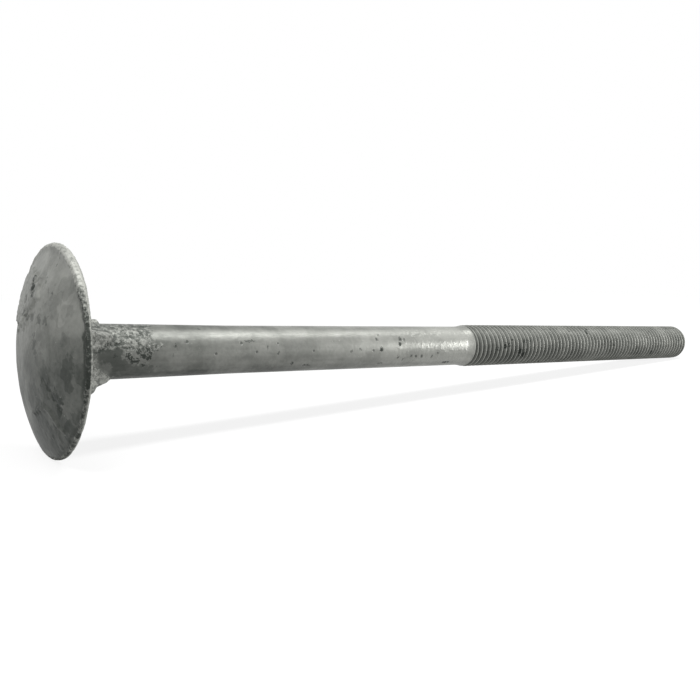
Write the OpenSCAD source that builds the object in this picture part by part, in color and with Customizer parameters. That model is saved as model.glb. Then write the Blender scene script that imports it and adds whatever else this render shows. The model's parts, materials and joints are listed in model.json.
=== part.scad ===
// Dome head timber bolt, hot forged in one piece, with a rolled thread.
// It lies as it comes to rest: on the edge of its head and on its last thread.
// Each module draws it standing along +Z, with the underside of its head at 0.

/* [Bolt] */
// Length under the head
bolt_l = 304.8; // [230:0.1:400]

/* [Head] */
// Diameter of the head
head_d = 56.4; // [46:0.1:68]
// Height of the dome above the rim
dome_h = 6.3; // [4:0.1:12]
// Thickness of the rim
rim_h = 1.6; // [1.4:0.1:5]
// Radius that rounds both edges of the rim
rim_r = 0.5; // [0.2:0.05:0.65]

/* [Fins] */
// How far each fin reaches from the bolt's axis, at the head
fin_reach = 12.6; // [10:0.1:20]
// How far it still reaches from the axis at its end
fin_end_reach = 9.2; // [7.5:0.1:12]
// How far each fin runs down the shank
fin_l = 13.6; // [8:0.1:24]
// Angle between the two slopes of a fin
fin_angle = 90; // [60:1:110]
// Turn of the fins round the shank, from straight down
fin_turn = 34; // [0:1:90]

/* [Shank] */
// Diameter of the plain shank
shank_d = 14.6; // [12:0.1:15.8]
// How much wider the shank is where it meets the head
neck_swell = 1; // [0:0.1:2]
// Length over which the shank narrows below the head
neck_l = 50; // [20:0.5:60]
// Radius of the fillet under the head
neck_r = 1.5; // [0.5:0.1:3]
// Length of the flare up to the thread's diameter
flare_l = 2.5; // [1:0.1:15]

/* [Thread] */
// Outer diameter of the thread
thread_d = 15.875; // [15:0.005:20]
// Turns of thread in one inch
turns_per_inch = 11; // [8:1:18]
// Length of the thread, with the chamfer at its end
thread_l = 152.4; // [50:0.1:230]
// Width of the chamfer at the end
chamfer = 1; // [0.5:0.1:2]

/* [Hidden] */
$fn = 96;
inch = 25.4;

// Thread form: flanks 60 degrees apart, with flat crests and roots.
pitch = inch / turns_per_inch;
crest_w = pitch / 8;
root_w = pitch / 4;
flank_w = (pitch - crest_w - root_w) / 2;
groove_w = root_w + 2 * flank_w;
thread_r = thread_d / 2;
root_r = thread_r - flank_w / tan(30);
thread_z = bolt_l - thread_l;
grooves = floor((thread_l - chamfer - groove_w / 2) / pitch) + 1;

shank_r = shank_d / 2;
neck_top_r = shank_r + neck_swell / 2;
flare_z = thread_z - groove_w / 2;

// The dome is part of a ball that runs into the rim's rounded edge with no crease.
head_r = head_d / 2;
head_h = rim_h + dome_h;
edge_r = head_r - rim_r;
edge_z = rim_r - rim_h;
dome_r = (edge_r * edge_r + dome_h * dome_h + 2 * dome_h * rim_r) / (2 * dome_h);
dome_z = dome_r - head_h;
crease = dome_r / (dome_r - rim_r);
crease_r = edge_r * crease;
crease_z = dome_z + (edge_z - dome_z) * crease;

// Lying still it touches the ground at two places: the rounded lower edge of the
// rim, centred at radius edge_r and height -rim_r, and the end of the last crest.
last_z = bolt_l - chamfer;
rest_run = last_z + rim_r;
rest_drop = edge_r - thread_r;
tilt = atan(rest_drop / rest_run) + asin(rim_r / norm([rest_run, rest_drop]));
ground = last_z * sin(tilt) + thread_r * cos(tilt);
end_r = thread_r - chamfer;
low_x = dome_z * cos(tilt) - dome_r;
high_x = bolt_l * cos(tilt) + end_r * sin(tilt);

// Half sections: radius along X, distance from the head's underside along Y.
module head_section() {
    intersection() {
        translate([0, dome_z]) circle(dome_r, $fn = 720);
        translate([0, -head_h - 1]) square([crease_r, crease_z + head_h + 1]);
    }
    polygon([[0, crease_z], [crease_r, crease_z], [edge_r, edge_z], [0, edge_z]]);
    translate([0, edge_z]) square([head_r, rim_h - 2 * rim_r]);
    translate([0, -rim_r]) square([edge_r, rim_r]);
    translate([edge_r, edge_z]) circle(rim_r);
    translate([edge_r, -rim_r]) circle(rim_r);
}

module neck_section() {
    difference() {
        translate([0, -rim_h / 2]) square([neck_top_r + neck_r, rim_h / 2 + neck_r]);
        translate([neck_top_r + neck_r, neck_r]) circle(neck_r);
    }
}

module shank_section() {
    polygon([
        [0, 0],
        [neck_top_r, 0],
        [shank_r, neck_l],
        [shank_r, flare_z - flare_l],
        [thread_r, flare_z],
        [thread_r, last_z],
        [end_r, bolt_l],
        [0, bolt_l]
    ]);
}

module groove_section() {
    overshoot = 1;
    slope = overshoot * tan(30);
    polygon([
        [root_r, -root_w / 2],
        [root_r, root_w / 2],
        [thread_r + overshoot, root_w / 2 + flank_w + slope],
        [thread_r + overshoot, -root_w / 2 - flank_w - slope]
    ]);
}

module head() {
    rotate_extrude() head_section();
}

module shank() {
    rotate_extrude() {
        neck_section();
        difference() {
            shank_section();
            for (turn = [0 : grooves - 1])
                translate([0, thread_z + turn * pitch]) groove_section();
        }
    }
}

// A roof-shaped fin whose ridge sinks towards the shank as it leaves the head.
module fin() {
    lean = atan((fin_reach - fin_end_reach) / fin_l);
    half_w = fin_reach * tan(fin_angle / 2);
    intersection() {
        translate([fin_reach, 0, 0])
            rotate([0, -lean, 0])
                linear_extrude(4 * fin_l, center = true)
                    polygon([[0, 0], [-fin_reach, half_w], [-fin_reach, -half_w]]);
        translate([0, -neck_top_r, -rim_h / 2])
            cube([fin_reach * 2, neck_top_r * 2, fin_l + rim_h / 2]);
    }
}

module bolt() {
    color([0.55, 0.56, 0.54])
        translate([-(low_x + high_x) / 2, 0, ground])
            rotate([0, 90 + tilt, 0]) {
                head();
                shank();
                for (side = [0, 180])
                    rotate([0, 0, side - fin_turn]) fin();
            }
}

bolt();
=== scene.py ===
"""A dome head timber bolt, hot-dip galvanised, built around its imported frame.

The bolt is forged standing up: its axis is Z, the underside of its head is at 0,
the dome hangs below and the shank rises above, and +X is the side that ends up
lowest. It is then laid down where the frame has it.
"""

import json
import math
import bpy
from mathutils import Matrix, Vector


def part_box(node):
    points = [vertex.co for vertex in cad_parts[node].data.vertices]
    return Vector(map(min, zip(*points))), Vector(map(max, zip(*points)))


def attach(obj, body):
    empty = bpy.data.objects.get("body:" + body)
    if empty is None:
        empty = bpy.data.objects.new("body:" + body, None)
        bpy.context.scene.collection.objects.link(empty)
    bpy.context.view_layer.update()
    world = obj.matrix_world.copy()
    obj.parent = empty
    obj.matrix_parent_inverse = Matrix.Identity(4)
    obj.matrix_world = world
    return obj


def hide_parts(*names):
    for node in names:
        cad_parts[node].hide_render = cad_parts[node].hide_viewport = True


bl_info = {
    "name": "Dome Head Timber Bolt",
    "version": (1, 0, 0),
    "blender": (4, 5, 0),
    "location": "View3D > Sidebar > Timber Bolt",
    "description": "Forges, threads and galvanises a dome head timber bolt",
    "category": "Add Mesh",
}

import bpy
from bpy.props import FloatProperty, FloatVectorProperty, PointerProperty
from mathutils import Vector, noise

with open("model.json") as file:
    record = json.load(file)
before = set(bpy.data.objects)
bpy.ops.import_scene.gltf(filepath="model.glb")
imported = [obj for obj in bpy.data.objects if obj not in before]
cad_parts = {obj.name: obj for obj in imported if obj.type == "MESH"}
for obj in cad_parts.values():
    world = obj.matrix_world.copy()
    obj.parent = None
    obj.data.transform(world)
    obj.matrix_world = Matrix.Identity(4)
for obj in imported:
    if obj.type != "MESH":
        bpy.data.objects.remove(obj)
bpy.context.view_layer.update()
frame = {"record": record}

MM = 0.001
INCH = 0.0254

# Where the camera stands, and how it is turned.
CAMERA_PLACE = (-0.209518, -0.205129, 0.055590)
CAMERA_TURN = (math.radians(90 - 7.65046), 0, math.radians(-37.7841))
# How far from the middle the floor starts and ends to turn white.
FLOOR_FADE = (0.2, 0.7)

# Where the frame has the bolt: its axis at the underside of the head, and the way it points.
MOUNTS = {mount["name"]: mount for mount in frame["record"]["mounts"]}
HEAD_AXIS = Vector(MOUNTS["under_head"]["axis"]).normalized()
HEAD_SEAT = Vector((MOUNTS["under_head"]["pos_m"][0], 0, MOUNTS["under_head"]["pos_m"][2]))
LAID_DOWN = (0, math.pi / 2 + math.atan2(-HEAD_AXIS.z, HEAD_AXIS.x), 0)
THREAD_R = MOUNTS["thread"]["dims"]["r_mm"] * MM
CREST_RUN = MOUNTS["thread"]["dims"]["length_mm"] * MM
LAST_CREST = (Vector(MOUNTS["thread"]["pos_m"]) - HEAD_SEAT).length + CREST_RUN / 2
node_low, node_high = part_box("bolt")
HEAD_D = node_high.y - node_low.y


def length(name, default, description):
    """A property for a length in metres."""
    return FloatProperty(name=name, description=description, default=default, unit="LENGTH")


class BoltSizes(bpy.types.PropertyGroup):
    """Sizes of the forged and threaded bolt."""

    head_d: length("Head diameter", HEAD_D, "Diameter of the dome head")
    dome_h: length("Dome height", 6.3 * MM, "Height of the dome above the rim")
    rim_h: length("Rim thickness", 1.6 * MM, "Thickness of the head at its rim")
    rim_r: length("Rim rounding", 0.5 * MM, "Radius that rounds both edges of the rim")
    shank_d: length("Shank diameter", 14.6 * MM, "Diameter of the plain shank")
    neck_swell: length("Neck swell", 1.0 * MM, "How much wider the shank is at the head")
    neck_l: length("Neck length", 50 * MM, "Length over which the shank narrows")
    neck_r: length("Neck fillet", 1.5 * MM, "Radius of the fillet under the head")
    low_fin_reach: length("Lower fin reach", 14.4 * MM, "Reach of the lower fin at the head")
    high_fin_reach: length("Upper fin reach", 12.1 * MM, "Reach of the upper fin at the head")
    fin_l: length("Fin length", 14.2 * MM, "How far a fin runs down the shank")
    fin_turn: FloatProperty(
        name="Fin turn",
        description="Turn of the fins round the shank, from straight down",
        default=math.radians(34),
        unit="ROTATION",
    )
    pitch: length("Pitch", INCH / 11, "Distance from one turn of the thread to the next")
    thread_l: length("Thread length", 6 * INCH, "Length of the thread")
    chamfer: length("End chamfer", 1.0 * MM, "Width of the chamfer at the end")
    crust: length("Crust", 0.3 * MM, "Height of the rough zinc on the neck")


def colour(name, default, description):
    """A property for a colour."""
    return FloatVectorProperty(
        name=name, description=description, default=default, subtype="COLOR", min=0, max=1
    )


class ZincLook(bpy.types.PropertyGroup):
    """Colours of the galvanised surface."""

    # The dark end of the tone also paints shade and the pale end painted light, as well as the
    # zinc's own colours.
    pale_zinc: colour("Pale zinc", (0.34, 0.345, 0.32), "Colour of rough and bright zinc")
    dark_zinc: colour("Dark zinc", (0.04, 0.045, 0.04), "Colour of dull and pitted zinc")


class StudioLook(bpy.types.PropertyGroup):
    """The floor's colour and the camera's lens."""

    floor_colour: colour("Floor", (0.35, 0.35, 0.35), "Colour of the floor")
    lens: FloatProperty(
        name="Lens", description="Focal length of the camera", default=39.391, unit="CAMERA"
    )


# ---- modelling by hand -------------------------------------------------------------


def only(obj):
    """Select one object and make it active."""
    bpy.ops.object.select_all(action="DESELECT")
    obj.select_set(True)
    bpy.context.view_layer.objects.active = obj
    return obj


def draw_line(name, points):
    """An open line through points in the XZ plane, drawn by extruding its first vertex."""
    bpy.ops.object.select_all(action="DESELECT")
    bpy.ops.mesh.primitive_plane_add(size=MM)
    obj = bpy.context.object
    obj.name = obj.data.name = name
    bpy.ops.object.mode_set(mode="EDIT")
    bpy.ops.mesh.select_mode(type="VERT")
    bpy.ops.mesh.select_all(action="SELECT")
    bpy.ops.mesh.merge(type="CENTER")
    places = [Vector((radius, 0, height)) for radius, height in points]
    bpy.ops.transform.translate(value=places[0])
    for start, end in zip(places, places[1:]):
        bpy.ops.mesh.extrude_region_move(TRANSFORM_OT_translate={"value": end - start})
    bpy.ops.mesh.select_all(action="SELECT")
    bpy.ops.object.mode_set(mode="OBJECT")
    return obj


def close_up(obj):
    """Merge what is double, cap open ends and turn the faces outwards."""
    only(obj)
    bpy.ops.object.mode_set(mode="EDIT")
    bpy.ops.mesh.select_all(action="SELECT")
    bpy.ops.mesh.remove_doubles(threshold=0.004 * MM)
    bpy.ops.mesh.fill_holes(sides=0)
    bpy.ops.mesh.normals_make_consistent(inside=False)
    bpy.ops.object.mode_set(mode="OBJECT")
    return obj


def turn(obj, steps):
    """Spin a half outline round Z into a closed solid."""
    only(obj)
    bpy.ops.object.mode_set(mode="EDIT")
    bpy.ops.mesh.select_all(action="SELECT")
    bpy.ops.mesh.spin(steps=steps, angle=2 * math.pi, center=(0, 0, 0), axis=(0, 0, 1))
    bpy.ops.object.mode_set(mode="OBJECT")
    return close_up(obj)


def apply_modifier(obj, kind, **settings):
    """Add a modifier, set it and apply it."""
    only(obj)
    modifier = obj.modifiers.new(kind.title(), kind)
    for key, value in settings.items():
        setattr(modifier, key, value)
    bpy.ops.object.modifier_apply(modifier=modifier.name)
    return obj


def combine(obj, other, operation):
    """Boolean another solid into this one and remove it."""
    apply_modifier(obj, "BOOLEAN", object=other, operation=operation, solver="EXACT")
    if not obj.data.polygons:
        raise RuntimeError(f"Nothing is left of {obj.name} after {other.name}")
    bpy.data.objects.remove(other)
    return obj


def arc(centre, radius, start, end, steps):
    """Points on an arc. An angle of 0 points down the axis and 90 degrees points outwards."""
    angles = [start + (end - start) * i / steps for i in range(steps + 1)]
    return [
        (centre[0] + radius * math.sin(a), centre[1] - radius * math.cos(a)) for a in angles
    ]


def stations(start, end, spacing):
    """Heights after start up to end, at most spacing apart."""
    count = max(1, math.ceil((end - start) / spacing))
    return [start + (end - start) * (i + 1) / count for i in range(count)]


# ---- zinc that stands proud --------------------------------------------------------


def fade(value, start, end):
    """0 before start, 1 after end, and smooth between them."""
    t = min(1, max(0, (value - start) / (end - start)))
    return t * t * (3 - 2 * t)


def ragged(place, grain, seed):
    """Noise about 0 that gives zinc its ragged edges."""
    return noise.fractal(place / (grain * MM) + Vector((seed, 0, 0)), 0.6, 2.2, 3)


def patch(centre, reach, rough=0.5, grain=3.0, soft=0.35, seed=0.0):
    """Weight of a ragged patch. Its centre and reach are in millimetres."""
    centre, reach = Vector(centre), Vector(reach)

    def weight(place):
        away = place / MM - centre
        run = Vector([a / r for a, r in zip(away, reach)]).length
        if run > 1 + soft + rough:
            return 0
        return 1 - fade(run + rough * ragged(place, grain, seed), 1 - soft, 1 + soft)

    return weight


def ridge(points, width, seed=0.0, rough=0.5):
    """Weight of a ridge along a line through points, all in millimetres."""
    points = [Vector(point) for point in points]

    def weight(place):
        spot = place / MM
        away = 9e9
        for start, end in zip(points, points[1:]):
            run = end - start
            t = min(1, max(0, (spot - start).dot(run) / run.length_squared))
            away = min(away, (spot - start - run * t).length)
        if away > 3 * width:
            return 0
        return 1 - fade(away / width + rough * ragged(place, 1.5, seed), 0.2, 1.1)

    return weight


def zinc_grain(name, size, depth, hard=False):
    """A texture for lumpy zinc, with lumps of a size in millimetres."""
    texture = bpy.data.textures.new(name, "CLOUDS")
    texture.noise_scale = size * MM
    texture.noise_depth = depth
    texture.noise_type = "HARD_NOISE" if hard else "SOFT_NOISE"
    return texture


def build_up(obj, name, weight, height, texture=None, middle=0.0):
    """Raise the surface where weight says, evenly or in a texture's lumps."""
    group = obj.vertex_groups.new(name=name)
    for vertex in obj.data.vertices:
        value = weight(vertex.co)
        if value > 0.01:
            group.add([vertex.index], value, "REPLACE")
    settings = {"vertex_group": name, "strength": height, "mid_level": middle}
    if texture:
        settings.update(texture=texture, texture_coords="LOCAL")
    apply_modifier(obj, "DISPLACE", **settings)
    obj.vertex_groups.remove(obj.vertex_groups[name])


# ---- the bolt ----------------------------------------------------------------------


def shank_radius(s, z):
    """Radius of the plain shank at height z."""
    left = max(0, 1 - z / s.neck_l)
    return s.shank_d / 2 + s.neck_swell / 2 * left


def head_outline(s):
    """Half outline of the head from the tip of the dome round the rim."""
    edge_r = s.head_d / 2 - s.rim_r
    dome_r = (edge_r**2 + s.dome_h**2 + 2 * s.dome_h * s.rim_r) / (2 * s.dome_h)
    dome_z = dome_r - s.rim_h - s.dome_h
    dome_edge = math.asin(edge_r / (dome_r - s.rim_r))
    points = arc((0, dome_z), dome_r, 0, dome_edge, 30)
    points += arc((edge_r, s.rim_r - s.rim_h), s.rim_r, dome_edge, math.pi / 2, 4)[1:]
    points += arc((edge_r, -s.rim_r), s.rim_r, math.pi / 2, math.pi, 4)
    return points


def fin(s, side, length, reaches):
    """One fin: a wedge whose blunt ridge sinks, slowly and then steeply, to the shank."""
    root, knee, end = reaches
    bpy.ops.object.select_all(action="DESELECT")
    bpy.ops.mesh.primitive_cube_add(size=1, location=(0.5, 0, 0.5))
    obj = bpy.context.object
    bpy.ops.object.transform_apply(location=True, rotation=False, scale=False)
    knee_z = length - 2.4 * MM
    pull_in(obj, lambda place: True, (root, 2 * root, knee_z + s.rim_h / 2))
    pull_in(obj, lambda place: place.x > root / 2, (1, 0.5 * MM / root, 1))
    pull_in(obj, lambda place: place.z > knee_z / 2, (knee / root, knee / root, 1))
    select_places(obj, lambda place: True)
    bpy.ops.object.mode_set(mode="EDIT")
    bpy.ops.transform.translate(value=(0, 0, -s.rim_h / 2))
    bpy.ops.object.mode_set(mode="OBJECT")
    select_places(obj, lambda place: place.z > knee_z / 2, "FACE")
    bpy.ops.object.mode_set(mode="EDIT")
    bpy.ops.mesh.extrude_region_move(
        TRANSFORM_OT_translate={"value": (0, 0, length - knee_z)}
    )
    bpy.ops.transform.resize(value=(end / knee, end / knee, 1), center_override=(0, 0, 0))
    bpy.ops.object.mode_set(mode="OBJECT")
    obj.rotation_euler = (0, 0, side - s.fin_turn)
    only(obj)
    bpy.ops.object.transform_apply(location=True, rotation=True, scale=True)
    return obj


def select_places(obj, chosen, kind="VERT"):
    """Select the vertices, or the faces, whose places are chosen."""
    only(obj)
    bpy.ops.object.mode_set(mode="EDIT")
    bpy.ops.mesh.select_mode(type=kind)
    bpy.ops.mesh.select_all(action="DESELECT")
    bpy.ops.object.mode_set(mode="OBJECT")
    if kind == "FACE":
        for face in obj.data.polygons:
            face.select = chosen(face.center) and abs(face.normal.z) > 0.9
    else:
        for vertex in obj.data.vertices:
            vertex.select = chosen(vertex.co)


def pull_in(obj, chosen, scale):
    """Scale the vertices whose places are chosen about the bolt's axis."""
    select_places(obj, chosen)
    bpy.ops.object.mode_set(mode="EDIT")
    bpy.ops.transform.resize(value=scale, center_override=(0, 0, 0))
    bpy.ops.mesh.select_all(action="SELECT")
    bpy.ops.object.mode_set(mode="OBJECT")


def bead(centre, reach):
    """A bead of zinc left at a fin. Its centre and reach are in millimetres."""
    bpy.ops.object.select_all(action="DESELECT")
    bpy.ops.mesh.primitive_ico_sphere_add(subdivisions=4, radius=1)
    obj = bpy.context.object
    obj.scale = Vector(reach) * MM
    obj.location = Vector(centre) * MM
    bpy.ops.object.transform_apply(location=True, rotation=True, scale=True)
    return obj


def forge_head(s):
    """Head, neck and fins as one forged lump with rough zinc, which swallows the plain shank."""
    sunk = 0.15 * MM
    neck_end = 32 * MM
    points = head_outline(s)
    base_r = shank_radius(s, 0) - sunk
    points += [(base_r + s.neck_r, 0)]
    points += arc((base_r + s.neck_r, s.neck_r), s.neck_r, 0, -math.pi / 2, 5)[1:]
    points += [(shank_radius(s, z) - sunk, z) for z in stations(s.neck_r, neck_end, 4 * MM)]
    points += [(shank_radius(s, neck_end) - 0.8 * MM, neck_end + 1 * MM), (0, neck_end + 1 * MM)]
    head = turn(draw_line("galvanised_bolt", points), 180)
    fin_end = 7.2 * MM
    low = (s.low_fin_reach, 9.3 * MM, fin_end)
    high = (s.high_fin_reach, 9.4 * MM, fin_end)
    parts = [fin(s, 0, s.fin_l, low), fin(s, math.pi, s.fin_l - 0.2 * MM, high)]
    parts += [
        bead((8.9, -5.2, 6.6), (2.0, 2.0, 2.1)),
        bead((10.2, -2.6, 3.6), (2.4, 2.6, 3.2)),
    ]
    only(head)
    for part in parts:
        part.select_set(True)
    bpy.ops.object.join()
    close_up(head)
    apply_modifier(head, "REMESH", mode="VOXEL", voxel_size=0.44 * MM, use_smooth_shade=True)
    return head


def turn_shank(s, thread_z):
    """The plain shank, from inside the head to inside the thread."""
    heights = [0.2 * MM] + stations(0.2 * MM, thread_z - 4 * MM, 1.1 * MM)
    points = [(0, heights[0])]
    points += [(shank_radius(s, z), z) for z in heights]
    points += [(s.shank_d / 2 - 0.6 * MM, thread_z + 2 * MM), (0, thread_z + 2 * MM)]
    return turn(draw_line("shank", points), 120)


def roll_thread(s, thread_z):
    """The threaded end: a bar with a rounded end and a helical groove, and its flare."""
    bolt_l = LAST_CREST + s.chamfer
    shank_r = s.shank_d / 2
    bar_points = [
        (0, thread_z - 4 * MM),
        (shank_r - 0.4 * MM, thread_z - 4 * MM),
        (THREAD_R - 0.12 * MM, thread_z - 0.2 * MM),
        (THREAD_R, thread_z + 1.5 * MM),
        (THREAD_R, LAST_CREST),
        (THREAD_R - 0.5 * s.chamfer, LAST_CREST + 1.1 * MM),
        (THREAD_R - 1.4 * s.chamfer, bolt_l + 1.3 * MM),
        (THREAD_R - 3.2 * s.chamfer, bolt_l + 2 * MM),
        (0, bolt_l + 2.3 * MM),
    ]
    bar = turn(draw_line("threaded_end", bar_points), 96)
    root_w = s.pitch / 4
    flank = (s.pitch - s.pitch / 8 - root_w) / 2
    depth = flank * math.sqrt(3)
    over = 0.1 * MM
    half_w = root_w / 2 + flank
    section = [
        (THREAD_R + over, -half_w - 0.02 * MM),
        (THREAD_R - 0.06 * MM, -half_w + 0.06 * MM),
        (THREAD_R - depth + 0.12 * MM, -root_w / 2 - 0.07 * MM),
        (THREAD_R - depth, -root_w / 4),
        (THREAD_R - depth, root_w / 4),
        (THREAD_R - depth + 0.12 * MM, root_w / 2 + 0.07 * MM),
        (THREAD_R - 0.06 * MM, half_w - 0.06 * MM),
        (THREAD_R + over, half_w + 0.02 * MM),
    ]
    first_groove = thread_z - 0.74 * s.pitch
    cutter = draw_line("groove", [(r, z + first_groove) for r, z in section])
    only(cutter)
    bpy.ops.object.mode_set(mode="EDIT")
    bpy.ops.mesh.select_all(action="SELECT")
    bpy.ops.mesh.edge_face_add()
    bpy.ops.object.mode_set(mode="OBJECT")
    turns = math.ceil((LAST_CREST - first_groove) / s.pitch) + 1
    apply_modifier(
        cutter, "SCREW", screw_offset=s.pitch, iterations=turns, steps=56, render_steps=56,
        use_merge_vertices=True, merge_threshold=0.002 * MM,
    )
    close_up(cutter)
    combine(bar, cutter, "DIFFERENCE")
    flare_points = [
        (0, thread_z - 5.5 * MM),
        (shank_r - 0.3 * MM, thread_z - 5.5 * MM),
        (shank_r + 0.02 * MM, thread_z - 3.6 * MM),
        (shank_r + 0.12 * MM, thread_z - 2.4 * MM),
        (shank_r + 0.28 * MM, thread_z - 1.2 * MM),
        (THREAD_R - 0.16 * MM, thread_z - 0.3 * MM),
        (THREAD_R - 0.2 * MM, thread_z - 0.1 * MM),
        (THREAD_R - 0.6 * MM, thread_z + 0.1 * MM),
        (0, thread_z + 0.2 * MM),
    ]
    return combine(bar, turn(draw_line("flare", flare_points), 96), "UNION")


def turned(place):
    """How far round the bolt a place is, in degrees from +X, between -180 and 180."""
    return math.degrees(math.atan2(place.y, place.x))


def dip_in_zinc(head, s):
    """Give the head and neck the lumps, crusts and runs of hot-dip galvanising."""
    crust_grain = zinc_grain("crust_grain", 1.9, depth=3, hard=True)
    lump_grain = zinc_grain("lump_grain", 2.6, depth=2)
    film_grain = zinc_grain("film_grain", 5.0, depth=3)

    def sheet_end(place):
        round_to = turned(place)
        if -100 < round_to < -46:
            return 14 + 3.5 * (-46 - round_to) / 54
        if -46 <= round_to < 20:
            return 14
        return 24.5 + 2.4 * ragged(place, 4, 3.0)

    def neck_sheet(place):
        if place.xy.length > 15 * MM:
            return 0
        end = sheet_end(place)
        return 1 - fade(place.z / MM, end - 0.5, end + 0.5)

    def neck_crust(place):
        z = place.z / MM
        if z < 0.3 or place.xy.length > 15 * MM:
            return 0
        smooth = fade(place.x / MM + 0.8 * ragged(place, 3, 5.0), -2.6, -1.0)
        smooth *= fade(-place.y / MM, -2.0, 2.0)
        return neck_sheet(place) * (1 - 0.85 * smooth)

    build_up(head, "neck_sheet", neck_sheet, 0.06 * MM)
    build_up(head, "neck_crust", neck_crust, s.crust, crust_grain, 0.5)

    def everywhere(place):
        return 1

    build_up(head, "film", everywhere, 0.16 * MM, film_grain, 0.5)

    def rim(place):
        return fade(place.xy.length, 26.2 * MM, 27.6 * MM)

    def rim_top(place):
        return rim(place) * fade(-place.x, 6 * MM, 22 * MM)

    build_up(head, "rim_top", rim_top, 0.5 * MM)
    build_up(head, "rim_lumps", rim, 0.22 * MM, lump_grain, 0.5)
    build_up(head, "rim_crust", rim, 0.14 * MM, crust_grain, 0.5)

    def crease(place):
        away = abs(place.xy.length / MM - 27.3 + 0.2 * ragged(place, 6, 9.0))
        side = fade(place.x / MM, -18, -14)
        return (1 - fade(away, 0.1, 0.5)) * (place.z < -1.2 * MM) * side

    build_up(head, "rim_crease", crease, -0.2 * MM)

    patches = [
        ("dome_plate", patch((-14.0, 9.0, -6), (7.2, 12.0, 30), 0.4, 4.0, 0.14, 1.3), 0.62),
        ("dome_strip", patch((-9.0, -6.0, -6), (1.5, 8.0, 30), 0.9, 2.5, 0.2, 7.7), 0.16),
        ("dome_low_patch", patch((16.5, -9.5, -5), (5.0, 4.6, 30), 0.7, 3.0, 0.1, 4.2), 0.12),
    ]
    for name, weight, height in patches:
        build_up(head, name, weight, height * MM)
        build_up(head, name, weight, 0.6 * height * MM, crust_grain, 0.5)
    arc_points = [
        (15.2, -2.0), (14.6, -4.7), (13.4, -7.4), (12.7, -10.6), (13.1, -12.4), (14.3, -13.9),
        (15.6, -14.6), (16.7, -15.1), (17.3, -16.6),
    ]
    on_dome = [(x, y, dome_height(s, x, y)) for x, y in arc_points]
    build_up(head, "dome_ridge", ridge(on_dome, 0.8, 2.0), 0.4 * MM)
    scratch = [(5.5, -11.8), (8.0, -14.6), (10.0, -15.6), (13.2, -19.2)]
    on_dome = [(x, y, dome_height(s, x, y)) for x, y in scratch]
    build_up(head, "dome_scratch", ridge(on_dome, 0.8, 6.0, 0.8), -0.2 * MM)


def dome_height(s, x, y):
    """Height of the dome at x and y, all in millimetres."""
    edge_r = s.head_d / 2 - s.rim_r
    dome_r = (edge_r**2 + s.dome_h**2 + 2 * s.dome_h * s.rim_r) / (2 * s.dome_h) / MM
    top = dome_r - (s.rim_h + s.dome_h) / MM
    return top - math.sqrt(dome_r**2 - x * x - y * y)


# ---- zinc ---------------------------------------------------------------------------


class Tree:
    """Short ways to add and link shader nodes."""

    def __init__(self, tree):
        self.tree = tree
        self.column = 0

    def node(self, kind, **settings):
        """Add a node. A setting that names an input is linked or set there."""
        node = self.tree.nodes.new("ShaderNode" + kind)
        node.location = (self.column, 0)
        self.column += 200
        for key, value in settings.items():
            if hasattr(node, key):
                setattr(node, key, value)
            else:
                self.put(node, key.replace("_", " ").title(), value)
        return node

    def put(self, node, socket, value):
        """Link or set an input, by its name or number."""
        socket = node.inputs[socket]
        if isinstance(value, bpy.types.NodeSocket):
            self.tree.links.new(value, socket)
        elif isinstance(value, bpy.types.Node):
            self.tree.links.new(value.outputs[0], socket)
        else:
            socket.default_value = value

    def maths(self, operation, *values):
        """A Math node on two or three values."""
        node = self.tree.nodes.new("ShaderNodeMath")
        node.operation = operation
        node.location = (self.column, -200)
        self.column += 60
        for index, value in enumerate(values):
            self.put(node, index, value)
        return node.outputs[0]

    def vector(self, operation, *values):
        """A Vector Math node on up to three values."""
        node = self.tree.nodes.new("ShaderNodeVectorMath")
        node.operation = operation
        node.location = (self.column, -600)
        self.column += 60
        for index, value in enumerate(values):
            self.put(node, index, value)
        return node.outputs["Value" if operation in ("DISTANCE", "LENGTH") else "Vector"]

    def ramp(self, value, low, high, to_low=0.0, to_high=1.0, smooth=True):
        """A Map Range node."""
        node = self.tree.nodes.new("ShaderNodeMapRange")
        node.interpolation_type = "SMOOTHSTEP" if smooth else "LINEAR"
        node.location = (self.column, -400)
        self.column += 60
        for index, item in enumerate((value, low, high, to_low, to_high)):
            self.put(node, index, item)
        return node.outputs[0]

    def blend(self, factor, one, two):
        """A colour Mix node."""
        node = self.tree.nodes.new("ShaderNodeMix")
        node.data_type = "RGBA"
        node.location = (self.column, 200)
        self.column += 100
        self.put(node, 0, factor)
        self.put(node, 6, one)
        self.put(node, 7, two)
        return node.outputs[2]

    def group(self, tree, **values):
        """A node group with some of its inputs linked or set."""
        node = self.tree.nodes.new("ShaderNodeGroup")
        node.node_tree = tree
        node.location = (self.column, 400)
        self.column += 120
        for key, value in values.items():
            self.put(node, key.replace("_", " ").title(), value)
        return node.outputs[0]


def new_group(name, inputs):
    """A node group with float and vector inputs, its tree helper and its ends."""
    tree = bpy.data.node_groups.new(name, "ShaderNodeTree")
    for title, default in inputs.items():
        is_vector = isinstance(default, tuple)
        kind = "NodeSocketVector" if is_vector else "NodeSocketFloat"
        socket = tree.interface.new_socket(title, in_out="INPUT", socket_type=kind)
        socket.default_value = default
    tree.interface.new_socket("Amount", in_out="OUTPUT", socket_type="NodeSocketFloat")
    entry = tree.nodes.new("NodeGroupInput")
    exit_node = tree.nodes.new("NodeGroupOutput")
    exit_node.location = (1600, 0)
    return tree, Tree(tree), entry, exit_node


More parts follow.
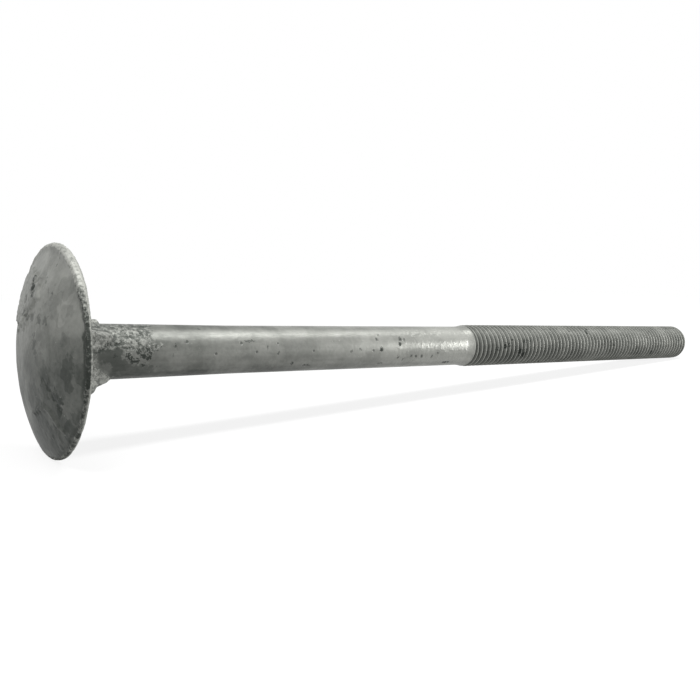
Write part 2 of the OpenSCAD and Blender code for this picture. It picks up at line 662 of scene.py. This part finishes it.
def clouds_group():
    """Soft cloudy noise, stretched as told, spread to run from 0 to 1."""
    tree, t, entry, out = new_group(
        "zinc_clouds",
        {"Place": (0.0, 0.0, 0.0), "Stretch": (1.0, 1.0, 1.0), "Scale": 0.2, "Detail": 3.0,
         "Low": 0.35, "High": 0.65},
    )
    stretched = t.node("Mapping", vector_type="TEXTURE")
    t.put(stretched, "Vector", entry.outputs["Place"])
    t.put(stretched, "Scale", entry.outputs["Stretch"])
    clouds = t.node("TexNoise", noise_dimensions="3D")
    t.put(clouds, "Vector", stretched)
    t.put(clouds, "Scale", entry.outputs["Scale"])
    t.put(clouds, "Detail", entry.outputs["Detail"])
    t.put(out, 0, t.ramp(clouds.outputs[0], entry.outputs["Low"], entry.outputs["High"]))
    return tree


def cells_group():
    """Flat spangles of zinc, each of one tone, with wavy edges."""
    tree, t, entry, out = new_group(
        "zinc_cells", {"Place": (0.0, 0.0, 0.0), "Stretch": (1.0, 1.0, 1.0), "Scale": 0.2},
    )
    stretched = t.node("Mapping", vector_type="TEXTURE")
    t.put(stretched, "Vector", entry.outputs["Place"])
    t.put(stretched, "Scale", entry.outputs["Stretch"])
    waves = t.node("TexNoise", noise_dimensions="3D")
    t.put(waves, "Vector", stretched)
    t.put(waves, "Scale", 0.35)
    t.put(waves, "Detail", 4.0)
    shift = t.node("VectorMath", operation="MULTIPLY_ADD")
    t.put(shift, 0, waves.outputs["Color"])
    t.put(shift, 1, (7.0, 7.0, 7.0))
    t.put(shift, 2, stretched)
    spangles = t.node("TexVoronoi", feature="F1")
    t.put(spangles, "Vector", shift)
    t.put(spangles, "Scale", entry.outputs["Scale"])
    tones = t.node("SeparateColor")
    t.put(tones, 0, spangles.outputs["Color"])
    t.put(out, 0, tones.outputs[0])
    return tree


def specks_group():
    """Small round specks, a few of them kept."""
    tree, t, entry, out = new_group(
        "zinc_specks", {"Place": (0.0, 0.0, 0.0), "Scale": 0.5, "Size": 0.25, "Kept": 0.4},
    )
    cells = t.node("TexVoronoi", feature="F1")
    t.put(cells, "Vector", entry.outputs["Place"])
    t.put(cells, "Scale", entry.outputs["Scale"])
    chosen = t.node("SeparateColor")
    t.put(chosen, 0, cells.outputs["Color"])
    keep = t.maths("LESS_THAN", chosen.outputs[0], entry.outputs["Kept"])
    size = t.maths("MULTIPLY", chosen.outputs[1], entry.outputs["Size"])
    inner = t.maths("MULTIPLY", size, 0.5)
    speck = t.ramp(cells.outputs["Distance"], inner, size, 1.0, 0.0)
    t.put(out, 0, t.maths("MULTIPLY", speck, keep))
    return tree


# Marks in the zinc, and a few marks of painted shade: the middle of each and its radius in
# millimetres, and how dark it is.
# On the dome a middle has no height.
DOME_STAINS = [
    ((0.6, -21.9), 1.8, 0.6), ((3.2, -21.4), 2.2, 0.75), ((5.6, -22.4), 1.6, 0.65),
    ((-17.8, -17.0), 2.6, 0.25), ((-12.0, -19.6), 2.0, 0.2), ((-5.0, -20.6), 2.0, 0.25),
    ((16.7, -19.8), 2.2, 0.6), ((1.2, -9.4), 2.2, 0.4), ((3.4, -11.4), 2.2, 0.4),
    ((6.2, -12.8), 2.2, 0.45), ((15.5, -6.0), 2.6, 0.45), ((15.5, -9.5), 2.2, 0.45),
    ((19.0, -1.0), 3.2, 0.5), ((19.0, -5.0), 3.2, 0.5), ((22.0, -8.0), 3.0, 0.4),
    ((22.0, -12.0), 2.6, 0.4), ((12.0, -3.0), 2.2, 0.35),
]
DOME_SCRATCHES_AND_SHADOW = [
    # The first four marks run along the -Y edge of the raised plate and paint the shadow of its
    # step.
    ((-18.8, 1.6), 1.1, 0.95), ((-17.0, 0.4), 1.2, 0.95), ((-15.2, -1.0), 1.2, 0.95),
    ((-13.8, -2.0), 0.9, 0.9), ((-13.6, 3.4), 1.4, 0.6), ((-10.8, 3.4), 1.4, 0.6),
    ((-9.4, -0.5), 1.3, 0.5), ((-9.4, -4.0), 1.3, 0.5), ((-9.4, -8.0), 1.3, 0.5),
    ((-9.2, -11.5), 1.2, 0.45), ((-8.0, 6.0), 1.1, 0.55), ((-8.0, 11.0), 1.1, 0.55),
    ((-5.0, -6.4), 1.0, 0.55), ((-3.0, -6.8), 1.1, 0.55), ((-1.0, -7.2), 1.0, 0.5),
    ((-22.6, -9.4), 0.55, 0.8), ((-16.4, -11.2), 0.6, 0.6), ((-25.2, -8.8), 0.6, 0.6),
    ((-18.8, -6.4), 0.6, 0.5), ((7.2, -13.6), 1.1, 0.95), ((8.2, -15.0), 1.0, 0.95),
    ((9.4, -16.4), 1.4, 1.0), ((10.2, -18.0), 1.2, 1.0), ((11.8, -17.2), 1.1, 1.0),
    ((13.2, -17.0), 1.0, 0.95), ((9.4, -12.8), 0.9, 0.7), ((22.4, -13.0), 0.9, 0.5),
    ((22.2, -15.6), 0.8, 0.5),
]
NECK_STAINS_AND_SHADE = [
    ((0.2, -7.6, 10.6), 2.3, 0.6), ((0.6, -7.6, 12.8), 2.2, 0.65), ((2.8, -7.2, 14.4), 2.2, 0.6),
    ((4.4, -6.1, 16.6), 2.2, 0.45), ((4.8, -5.6, 19.6), 2.4, 0.5), ((4.8, -5.6, 22.6), 2.2, 0.4),
    # The three marks near (9, -3.5) lie low on the lower fin and paint shade on its underside.
    ((-0.6, -7.4, 6.6), 2.0, 0.5), ((9.4, -3.4, 8.4), 1.7, 0.95), ((8.9, -3.6, 10.6), 1.5, 0.95),
    ((8.4, -3.6, 12.4), 1.2, 0.95), ((-6.9, -2.6, 19.6), 1.2, 0.6), ((-6.9, -2.6, 21.8), 1.0, 0.6),
    ((-7.2, -1.4, 33.0), 1.0, 0.6), ((-7.2, -1.4, 41.0), 0.9, 0.6),
]
NECK_PITS = [
    ((0.4, -7.5, 16.6), 0.7, 1.0), ((1.2, -7.5, 17.2), 0.6, 1.0), ((1.9, -7.3, 18.1), 0.65, 1.0),
    ((1.9, -7.3, 19.2), 0.65, 1.0), ((-0.6, -7.5, 19.6), 0.75, 0.9), ((0.5, -7.5, 20.8), 0.8, 1.0),
    ((0.9, -7.4, 22.4), 0.8, 1.0), ((-1.0, -7.4, 22.3), 0.6, 1.0), ((-0.2, -7.4, 23.2), 0.5, 0.9),
    ((3.0, -6.9, 21.1), 0.55, 1.0), ((-2.2, -7.1, 30.4), 0.5, 0.9), ((0.4, -7.4, 30.0), 0.4, 0.5),
    ((0.4, -7.6, 12.8), 0.6, 0.9), ((-2.6, -7.0, 14.2), 0.7, 0.6), ((-4.6, -6.0, 17.4), 0.7, 0.8),
    ((-5.4, -5.2, 21.0), 0.7, 0.8),
]
SHANK_SPOTS = [
    ((-1.3, -7.2, 60.6), 0.42, 0.9), ((0.6, -7.2, 64.4), 0.5, 0.6), ((3.9, -6.2, 70.4), 0.6, 0.8),
    ((0.3, -7.3, 93.0), 0.5, 0.6), ((-0.1, -7.3, 96.8), 0.5, 0.6), ((0.0, -7.3, 106.0), 0.75, 1.0),
    ((-3.4, -6.5, 104.2), 0.6, 0.7), ((-4.8, -5.5, 105.5), 0.5, 0.6),
    ((-1.8, -7.1, 114.4), 0.7, 1.0), ((-3.4, -6.4, 114.8), 0.7, 0.8),
    ((-3.3, -6.5, 116.8), 0.5, 0.6), ((2.9, -6.7, 114.2), 0.55, 0.7),
    ((3.7, -6.3, 116.9), 0.5, 0.6), ((2.6, -6.8, 120.2), 0.5, 0.75), ((2.7, -6.8, 122.6), 0.5, 0.8),
    ((2.7, -6.8, 125.5), 0.55, 0.8), ((2.8, -6.7, 130.5), 0.5, 0.7), ((1.7, -7.1, 133.0), 0.5, 0.6),
]
SHANK_LINES = [
    ((-3.2, -6.6, 54.5), 0.8, 0.6), ((4.8, -5.5, 76.2), 0.6, 0.9), ((5.1, -5.3, 107.4), 0.6, 0.7),
    ((5.5, -4.8, 139.4), 0.8, 1.0),
]
THREAD_STAINS = [
    ((0.7, -7.9, 165.7), 1.1, 1.0), ((-0.5, -7.9, 169.0), 1.2, 1.0), ((-0.8, -7.9, 171.2), 1.0, 1.0),
    ((2.1, -7.6, 178.7), 1.5, 1.0), ((3.4, -7.2, 181.6), 1.4, 1.0), ((-2.6, -7.5, 181.0), 1.3, 0.7),
    ((-2.2, -7.6, 184.5), 1.3, 0.7), ((-5.8, -5.4, 224.6), 1.4, 0.9),
    ((4.1, -6.8, 276.0), 1.2, 0.8), ((1.4, -7.8, 262.0), 1.0, 0.5),
]


def marked(t, s, place, marks, ragged_by, grain, stretch=(1.0, 1.0, 1.0)):
    """How strongly ragged marks show. Noise shifts the place to tear them out of round."""
    wave = t.node("TexNoise", noise_dimensions="3D")
    t.put(wave, "Vector", place)
    t.put(wave, "Scale", grain)
    t.put(wave, "Detail", 4.0)
    wave = t.vector("MULTIPLY_ADD", wave.outputs["Color"], [2 * ragged_by] * 3, [-ragged_by] * 3)
    torn = t.vector("DIVIDE", t.vector("ADD", place, wave), stretch)
    most = 0.0
    for centre, radius, strength in marks:
        if len(centre) == 2:
            centre = (*centre, dome_height(s, *centre))
        centre = [c / wide for c, wide in zip(centre, stretch)]
        away = t.vector("DISTANCE", torn, centre)
        mark = t.ramp(away, 0.85 * radius, 1.15 * radius, strength, 0.0)
        most = t.maths("MAXIMUM", mark, most)
    return most


def galvanised_zinc(s, look):
    """The zinc: smooth and cloudy, crusted on the neck and rim, dull in the thread, with painted
    light and shade.
    """
    material = bpy.data.materials.new("galvanised_zinc")
    material.use_nodes = True
    t = Tree(material.node_tree)
    shader = material.node_tree.nodes["Principled BSDF"]
    shader.inputs["Metallic"].default_value = 0.6
    shader.inputs["Specular IOR Level"].default_value = 0.15
    clouds, cells, specks = clouds_group(), cells_group(), specks_group()

    coords = t.node("TexCoord")
    standing = t.node("Mapping", vector_type="TEXTURE")
    t.put(standing, "Vector", coords.outputs["Object"])
    standing.inputs["Location"].default_value = HEAD_SEAT
    standing.inputs["Rotation"].default_value = LAID_DOWN
    standing.inputs["Scale"].default_value = (MM, MM, MM)
    place = standing.outputs[0]
    parts = t.node("SeparateXYZ")
    t.put(parts, 0, place)
    x, y, z = parts.outputs
    square = t.maths("ADD", t.maths("MULTIPLY", x, x), t.maths("MULTIPLY", y, y))
    radius = t.maths("SQRT", square)
    is_dome = t.ramp(z, -1.3, -1.0, 1.0, 0.0)
    is_head = t.ramp(z, 0.3, 0.8, 1.0, 0.0)
    is_thread = t.ramp(z, 151.5, 152.5)
    pale, dark = ((*shade, 1.0) for shade in (look.pale_zinc, look.dark_zinc))

    # Smooth zinc: clouds, flat spangles and streaks along the shank.
    cloud = t.group(clouds, place=place, scale=0.11, detail=3.0)
    fine = t.group(clouds, place=place, scale=0.8, detail=5.0, low=0.25, high=0.75)
    spangle = t.group(cells, place=place, stretch=(1.5, 1.0, 1.5), scale=0.2)
    shank_streak = t.group(clouds, place=place, stretch=(1.0, 1.0, 16.0), scale=0.5, detail=2.0)
    tone = t.maths("MULTIPLY_ADD", cloud, 0.2, 0.33)
    tone = t.maths("MULTIPLY_ADD", fine, 0.1, tone)
    tone = t.maths("MULTIPLY_ADD", spangle, t.maths("MULTIPLY_ADD", is_head, 0.1, 0.08), tone)
    not_head = t.maths("SUBTRACT", 1.0, is_head)
    tone = t.maths("MULTIPLY_ADD", t.maths("MULTIPLY", shank_streak, not_head), 0.1, tone)
    # The tone is raised on the head. Along the shank it rises towards the thread as painted light,
    # where more light falls.
    painted_light_lift = t.maths("MULTIPLY_ADD", is_head, 0.2, t.ramp(z, 20.0, 130.0, -0.14, 0.28))
    tone = t.maths("ADD", tone, painted_light_lift)
    tone = t.maths("MULTIPLY_ADD", is_thread, -0.3, tone)
    # Painted shade: the dome darkens towards its low side.
    painted_shade_low_dome = t.maths("MULTIPLY", t.ramp(x, -20.0, 16.0, 0.0, 0.51), is_head)
    tone = t.maths("SUBTRACT", tone, painted_shade_low_dome)
    # Painted shade: the underside of the shank is darker, less so near the thread.
    underside = t.maths("MULTIPLY", t.ramp(x, 2.5, 7.0), t.ramp(z, 90.0, 135.0, 0.3, 0.05))
    tone = t.maths("SUBTRACT", tone, t.maths("MULTIPLY", underside, not_head))
    # Painted shade: a narrow band along the top edge of the shank is darker.
    painted_shade_top_edge = t.maths("MULTIPLY", t.ramp(x, -7.2, -5.6, 0.16, 0.0), not_head)
    tone = t.maths("SUBTRACT", tone, painted_shade_top_edge)
    base = t.blend(t.maths("MAXIMUM", tone, 0.0), dark, pale)

    # Rough pale crust on the upper side of the neck.
    mottle = t.group(clouds, place=place, scale=0.95, detail=5.0, low=0.3, high=0.7)
    grit = t.group(clouds, place=place, scale=2.8, detail=3.0, low=0.3, high=0.7)
    wobble = t.group(clouds, place=place, scale=0.3, detail=4.0, low=0.2, high=0.8)
    neck_end = t.ramp(t.maths("MULTIPLY_ADD", wobble, 6.0, z), 27.6, 28.6, 1.0, 0.0)
    upper = t.ramp(t.maths("MULTIPLY_ADD", wobble, 2.4, x), -0.2, 1.2, 1.0, 0.0)
    behind = t.ramp(y, -2.0, 2.0)
    crust_zone = t.maths("MULTIPLY", t.maths("MAXIMUM", upper, behind), neck_end)
    crust_zone = t.maths("MULTIPLY", crust_zone, t.ramp(z, 0.2, 1.0))
    crust_tone = t.maths("MULTIPLY_ADD", mottle, 0.6, t.maths("MULTIPLY", grit, 0.25))
    crust_tone = t.maths("MULTIPLY_ADD", crust_tone, 1.25, -0.2)
    crust_colour = t.blend(crust_tone, dark, pale)
    base = t.blend(t.maths("MULTIPLY", crust_zone, 0.85), base, crust_colour)

    # The fins are crusted too, and so is the rim, whose crust is painted lighter on top and along
    # its edge towards the underside as painted light, and darker on its side towards -Y as painted
    # shade; the dark crease inside it is painted shade.
    fins = t.ramp(t.maths("MULTIPLY_ADD", grit, 0.5, radius), 8.2, 8.8)
    fins = t.maths("MULTIPLY", fins, t.maths("MULTIPLY", t.ramp(z, 0.5, 1.0), not_head))
    fins = t.maths("MULTIPLY", fins, t.ramp(z, 20.0, 22.0, 1.0, 0.0))
    fin_colour = t.blend(t.maths("ADD", crust_tone, 0.35), dark, pale)
    base = t.blend(t.maths("MULTIPLY", fins, 0.9), base, fin_colour)
    # Painted light: the rim is paler on top.
    lit_rim_top = t.ramp(x, -20.0, -15.0, 1.0, 0.0)
    # Painted shade: the rim is darker on its side towards -Y.
    below = t.ramp(t.maths("MULTIPLY_ADD", wobble, 6.0, x), 8.0, 12.0, 1.0, 0.0)
    shaded = t.maths("MULTIPLY", t.maths("MULTIPLY", t.ramp(x, -14.0, -9.0), below), t.ramp(
        y, -18.0, -10.0, 1.0, 0.0))
    rim = t.ramp(t.maths("MULTIPLY_ADD", wobble, 0.8, radius), 27.7, 28.1)
    rim = t.maths("MULTIPLY", rim, is_head)
    rim_crust_and_painted_light = t.maths("MULTIPLY_ADD", lit_rim_top, 0.5, crust_tone)
    rim_crust_and_painted_light = t.maths("MULTIPLY_ADD", shaded, -0.4, rim_crust_and_painted_light)
    # Painted highlight along the rim's edge towards the underside.
    rim_crust_and_painted_light = t.maths("MULTIPLY_ADD", t.ramp(z, -0.8, -0.4), 0.85, rim_crust_and_painted_light)
    base = t.blend(t.maths("MULTIPLY", rim, 0.95), base, t.blend(rim_crust_and_painted_light, dark, pale))
    # Painted shade: a dark crease on the dome just inside the rim.
    inside = t.ramp(t.maths("MULTIPLY_ADD", wobble, 1.0, radius), 27.3, 27.8)
    crease = t.maths("MULTIPLY", t.maths("MULTIPLY", inside, is_dome), t.maths(
        "SUBTRACT", 1.0, rim))
    crease = t.maths("MULTIPLY", crease, t.maths("MULTIPLY_ADD", shaded, 0.5, t.ramp(
        x, -18.0, -14.0, 0.0, 0.4)))
    base = t.blend(crease, base, dark)

    # Dull stains, scratches and pits, and the marks of painted shade and shadow listed with them.
    stains_and_painted_shade = 0.0
    for marks, ragged_by, grain, stretch in (
        (DOME_STAINS, 3.2, 0.3, (1.0, 1.2, 1.0)),
        (DOME_SCRATCHES_AND_SHADOW, 2.4, 0.8, (1.0, 1.0, 1.0)),
        (NECK_STAINS_AND_SHADE, 2.6, 0.7, (1.0, 1.0, 1.15)),
        (NECK_PITS, 1.5, 2.2, (1.0, 1.0, 1.0)),
        (SHANK_SPOTS, 1.2, 2.4, (1.0, 1.0, 1.0)),
        (SHANK_LINES, 1.0, 1.4, (0.4, 1.0, 2.5)),
        (THREAD_STAINS, 2.4, 1.4, (1.0, 1.0, 1.0)),
    ):
        most = marked(t, s, place, marks, ragged_by, grain, stretch)
        stains_and_painted_shade = t.maths("MAXIMUM", most, stains_and_painted_shade)
    base = t.blend(stains_and_painted_shade, base, dark)
    pits = t.group(specks, place=place, scale=0.3, size=0.2, kept=0.3)
    base = t.blend(t.maths("MULTIPLY", pits, 0.6), base, dark)
    glints = t.group(specks, place=place, scale=0.6, size=0.16, kept=0.4)
    base = t.blend(t.maths("MULTIPLY", glints, 0.4), base, pale)

    # Thread: painted shade in the grooves and a painted highlight on the crests.
    groove = t.ramp(radius, 7.0, 7.7, 0.75, 0.0, smooth=False)
    base = t.blend(t.maths("MULTIPLY", groove, is_thread), base, dark)
    # Painted highlight on the crests.
    crest = t.maths("MULTIPLY", t.ramp(radius, 7.8, 7.92), is_thread)
    base = t.blend(t.maths("MULTIPLY", crest, 0.45), base, pale)
    t.put(shader, "Base Color", base)

    rough = t.ramp(tone, 0.2, 0.8, 0.48, 0.42)
    rough = t.maths("MULTIPLY_ADD", crust_zone, 0.08, rough)
    rough = t.maths("MULTIPLY_ADD", is_thread, 0.22, rough)
    rough = t.maths("MULTIPLY_ADD", rim, 0.2, rough)
    t.put(shader, "Roughness", rough)

    rim_crust = t.maths("MULTIPLY", rim, t.maths("SUBTRACT", 1.0, lit_rim_top))
    rough_zone = t.maths("MAXIMUM", crust_zone, t.maths("MAXIMUM", fins, rim_crust))
    height = t.maths("MULTIPLY", crust_tone, t.maths("MULTIPLY", rough_zone, 0.16))
    height = t.maths("MULTIPLY_ADD", fine, 0.03, height)
    height = t.maths("MULTIPLY_ADD", pits, -0.12, height)
    height = t.maths("MULTIPLY_ADD", glints, 0.06, height)
    near_thread = t.maths("MULTIPLY", t.ramp(z, 100.0, 125.0), t.ramp(
        z, 148.0, 151.0, 1.0, 0.0))
    lumps = t.group(clouds, place=place, scale=0.45, detail=2.0, low=0.45, high=0.75)
    height = t.maths("MULTIPLY_ADD", t.maths("MULTIPLY", lumps, near_thread), 0.09, height)
    bump = t.node("Bump")
    t.put(bump, "Height", height)
    bump.inputs["Distance"].default_value = MM
    t.put(shader, "Normal", bump)
    return material


class TIMBERBOLT_OT_bolt(bpy.types.Operator):
    """Forge the bolt, roll its thread and dip it in zinc"""

    bl_idname = "timber_bolt.bolt"
    bl_label = "Forge bolt"

    def execute(self, context):
        s = context.scene.bolt_sizes
        thread_z = LAST_CREST + s.chamfer - s.thread_l
        bolt = forge_head(s)
        dip_in_zinc(bolt, s)
        combine(bolt, turn_shank(s, thread_z), "UNION")
        combine(bolt, roll_thread(s, thread_z), "UNION")
        bolt.rotation_euler = LAID_DOWN
        bolt.location = HEAD_SEAT
        only(bolt)
        bpy.ops.object.transform_apply(location=True, rotation=True, scale=True)
        bpy.ops.object.shade_smooth_by_angle(angle=math.radians(40))
        bolt.data.materials.clear()
        bolt.data.materials.append(galvanised_zinc(s, context.scene.zinc_look))
        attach(bolt, "root")
        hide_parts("bolt")
        return {"FINISHED"}


def area_light(name, target, offset, size, power):
    """A soft light that shines at a target from an offset."""
    bpy.ops.object.select_all(action="DESELECT")
    place = Vector(target) + Vector(offset)
    bpy.ops.object.light_add(type="AREA", location=place)
    lamp = bpy.context.object
    lamp.name = lamp.data.name = name
    lamp.rotation_euler = (-Vector(offset)).to_track_quat("-Z", "Y").to_euler()
    lamp.data.shape = "RECTANGLE"
    lamp.data.size, lamp.data.size_y = size
    lamp.data.energy = power
    return lamp


def seen_white(tree):
    """A tree's helper, and where it is seen: by the camera, in reflections or through glass."""
    t = Tree(tree)
    path = t.node("LightPath")
    seen = t.maths("MAXIMUM", path.outputs["Is Camera Ray"], path.outputs["Is Glossy Ray"])
    return t, t.maths("MAXIMUM", seen, path.outputs["Is Transmission Ray"])


class TIMBERBOLT_OT_stage(bpy.types.Operator):
    """Set up the floor, the lights and the camera"""

    bl_idname = "timber_bolt.stage"
    bl_label = "Set stage"

    def execute(self, context):
        look = context.scene.studio_look
        scene = context.scene
        bpy.ops.object.select_all(action="DESELECT")
        bpy.ops.mesh.primitive_plane_add(size=12)
        floor = context.object
        floor.name = "floor"
        material = bpy.data.materials.new("floor")
        material.use_nodes = True
        t, seen = seen_white(material.node_tree)
        shader = material.node_tree.nodes["Principled BSDF"]
        shader.inputs["Base Color"].default_value = (*look.floor_colour, 1)
        shader.inputs["Roughness"].default_value = 0.8
        glow = t.node("Emission")
        glow.inputs["Color"].default_value = (1, 1, 1, 1)
        mix = t.node("MixShader")
        spot = t.node("TexCoord")
        far = t.node("VectorMath", operation="LENGTH")
        t.put(far, 0, spot.outputs["Object"])
        whiter = t.ramp(far.outputs["Value"], *FLOOR_FADE, 0.66, 1.0)
        t.put(mix, 0, t.maths("MULTIPLY", seen, whiter))
        t.put(mix, 1, shader)
        t.put(mix, 2, glow)
        t.put(glow, "Strength", t.ramp(far.outputs["Value"], *FLOOR_FADE, 1.3, 1.0))
        t.put(material.node_tree.nodes["Material Output"], 0, mix)
        floor.data.materials.append(material)

        world = bpy.data.worlds.new("studio")
        scene.world = world
        world.use_nodes = True
        t, seen = seen_white(world.node_tree)
        background = world.node_tree.nodes["Background"]
        background.inputs["Color"].default_value = (1, 1, 1, 1)
        t.put(background, "Strength", t.maths("MULTIPLY_ADD", seen, 0.94, 0.06))

        area_light("overhead_light", (0, 0, 0.02), (0.0, -0.2, 0.9), (1.3, 0.2), 13)
        area_light("front_light", (0.1, 0, 0.02), (0.2, -0.17, 0.022), (0.16, 0.08), 0.62)
        area_light("head_light", (-0.15, 0, 0.03), (-0.3, -0.2, 0.86), (0.4, 0.4), 3.5)

        bpy.ops.object.select_all(action="DESELECT")
        bpy.ops.object.camera_add(location=CAMERA_PLACE, rotation=CAMERA_TURN)
        camera = context.object
        camera.data.sensor_width = 36
        camera.data.lens = look.lens
        camera.data.clip_start = 0.01
        scene.camera = camera
        scene.view_settings.view_transform = "Standard"
        return {"FINISHED"}


class TIMBERBOLT_PT_panel(bpy.types.Panel):
    """Buttons that build the bolt and its stage"""

    bl_idname = "TIMBERBOLT_PT_panel"
    bl_label = "Timber Bolt"
    bl_space_type = "VIEW_3D"
    bl_region_type = "UI"
    bl_category = "Timber Bolt"

    def draw(self, context):
        for operator in OPERATORS:
            self.layout.operator(operator.bl_idname)


OPERATORS = (TIMBERBOLT_OT_bolt, TIMBERBOLT_OT_stage)
CLASSES = (BoltSizes, ZincLook, StudioLook, *OPERATORS, TIMBERBOLT_PT_panel)


def register():
    for cls in CLASSES:
        bpy.utils.register_class(cls)
    bpy.types.Scene.bolt_sizes = PointerProperty(type=BoltSizes)
    bpy.types.Scene.zinc_look = PointerProperty(type=ZincLook)
    bpy.types.Scene.studio_look = PointerProperty(type=StudioLook)


def unregister():
    del bpy.types.Scene.studio_look
    del bpy.types.Scene.zinc_look
    del bpy.types.Scene.bolt_sizes
    for cls in reversed(CLASSES):
        bpy.utils.unregister_class(cls)


def main():
    register()
    bpy.ops.timber_bolt.bolt()
    bpy.ops.timber_bolt.stage()


if __name__ == "__main__":
    main()
